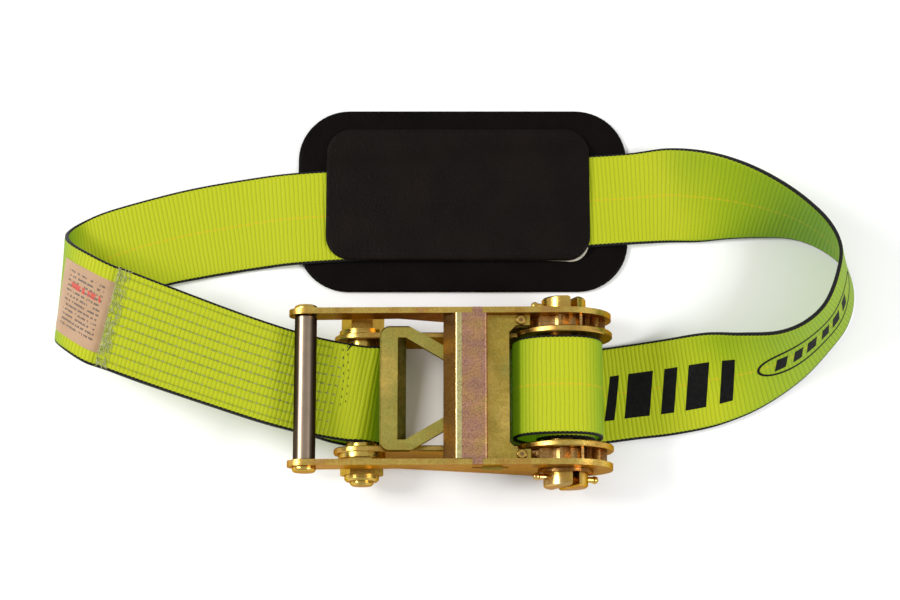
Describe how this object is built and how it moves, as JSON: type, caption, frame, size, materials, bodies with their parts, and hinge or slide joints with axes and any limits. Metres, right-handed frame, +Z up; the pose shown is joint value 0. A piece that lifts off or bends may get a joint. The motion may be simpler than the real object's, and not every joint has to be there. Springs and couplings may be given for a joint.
{
  "type": "ratchet webbing tensioner",
  "caption": "Ratchet webbing tensioner with a wide grip handle, sprung pawls, a slotted spindle and a closed loop of webbing that carries a flat edge pad.",
  "frame": {"origin": "middle of the footprint, on the plane that the loop lies on", "axes": "+X along the loop's long way, from the anchor bolt to the spindle; +Y from the ratchet to the pad; +Z up, out of the closed handle's front"},
  "size_m": [0.4132, 0.2052, 0.05],
  "materials": {
    "zinc_plate": "yellow zinc plated, iridescent",
    "zinc_ridge": "yellow zinc plated, worn purple",
    "zinc_pull": "zinc plated, olive",
    "wheel_steel": "zinc plated, dark",
    "spindle_steel": "zinc plated, bright",
    "grip_steel": "dark polished",
    "spring_steel": "oiled",
    "bolt_steel": "zinc plated",
    "webbing": "woven polyester, black selvedges",
    "webbing_sewn": "woven polyester, lengthwise stitching",
    "label": "woven label",
    "pad_rubber": "grained, black"
  },
  "bodies": {
    "frame": {"frame_plate_near": "zinc_plate", "frame_plate_far": "zinc_plate", "frame_spring_seat": "zinc_plate", "frame_pawl_spring": "spring_steel", "anchor_bolt": "bolt_steel", "anchor_nut": "bolt_steel", "anchor_washers": "bolt_steel", "anchor_sleeve": "bolt_steel", "strap_eye": "webbing", "strap_sewn_end": "webbing_sewn", "strap_near_left": "webbing", "strap_left_turn": "webbing", "strap_far_left": "webbing", "strap_far_middle": "webbing", "strap_far_right": "webbing", "strap_right_turn": "webbing", "strap_near_right": "webbing", "strap_outer_turn": "webbing", "strap_label": "label", "pad_base": "pad_rubber", "pad_patch": "pad_rubber"},
    "frame_pawl": {"frame_pawl": "zinc_pull"},
    "spindle": {"spindle_half_left": "spindle_steel", "spindle_half_right": "spindle_steel", "ratchet_wheel_near_inner": "wheel_steel", "ratchet_wheel_near_outer": "wheel_steel", "ratchet_wheel_far_inner": "wheel_steel", "ratchet_wheel_far_outer": "wheel_steel", "spindle_washers": "spindle_steel", "cotter_pins": "spindle_steel", "webbing_coil": "webbing"},
    "handle": {"handle_plate_near": "zinc_plate", "handle_plate_far": "zinc_plate", "grip_tube": "grip_steel", "grip_rod": "bolt_steel", "handle_ridge": "zinc_ridge", "handle_web": "zinc_ridge", "web_rivets": "bolt_steel", "handle_pawl_spring": "spring_steel"},
    "handle_pawl": {"handle_pawl": "zinc_pull"}
  },
  "joints": [
    {"name": "handle_hinge", "type": "hinge", "parent": "frame", "child": "handle", "pos_m": [0.054, -0.053, 0.0245], "axis": [0, 1, 0], "range_deg": [0, 150]},
    {"name": "spindle_spin", "type": "hinge", "parent": "frame", "child": "spindle", "pos_m": [0.054, -0.053, 0.0245], "axis": [0, 1, 0], "continuous": true},
    {"name": "frame_pawl_slide", "type": "slide", "parent": "frame", "child": "frame_pawl", "axis": [-1, 0, 0], "range_m": [0, 0.005], "stiffness_N_per_m": 400, "springref_m": -0.003, "deforming": ["frame_pawl_spring"]},
    {"name": "handle_pawl_slide", "type": "slide", "parent": "handle", "child": "handle_pawl", "axis": [-1, 0, 0], "range_m": [-0.0025, 0.005], "stiffness_N_per_m": 400, "deforming": ["handle_pawl_spring"]}
  ]
}
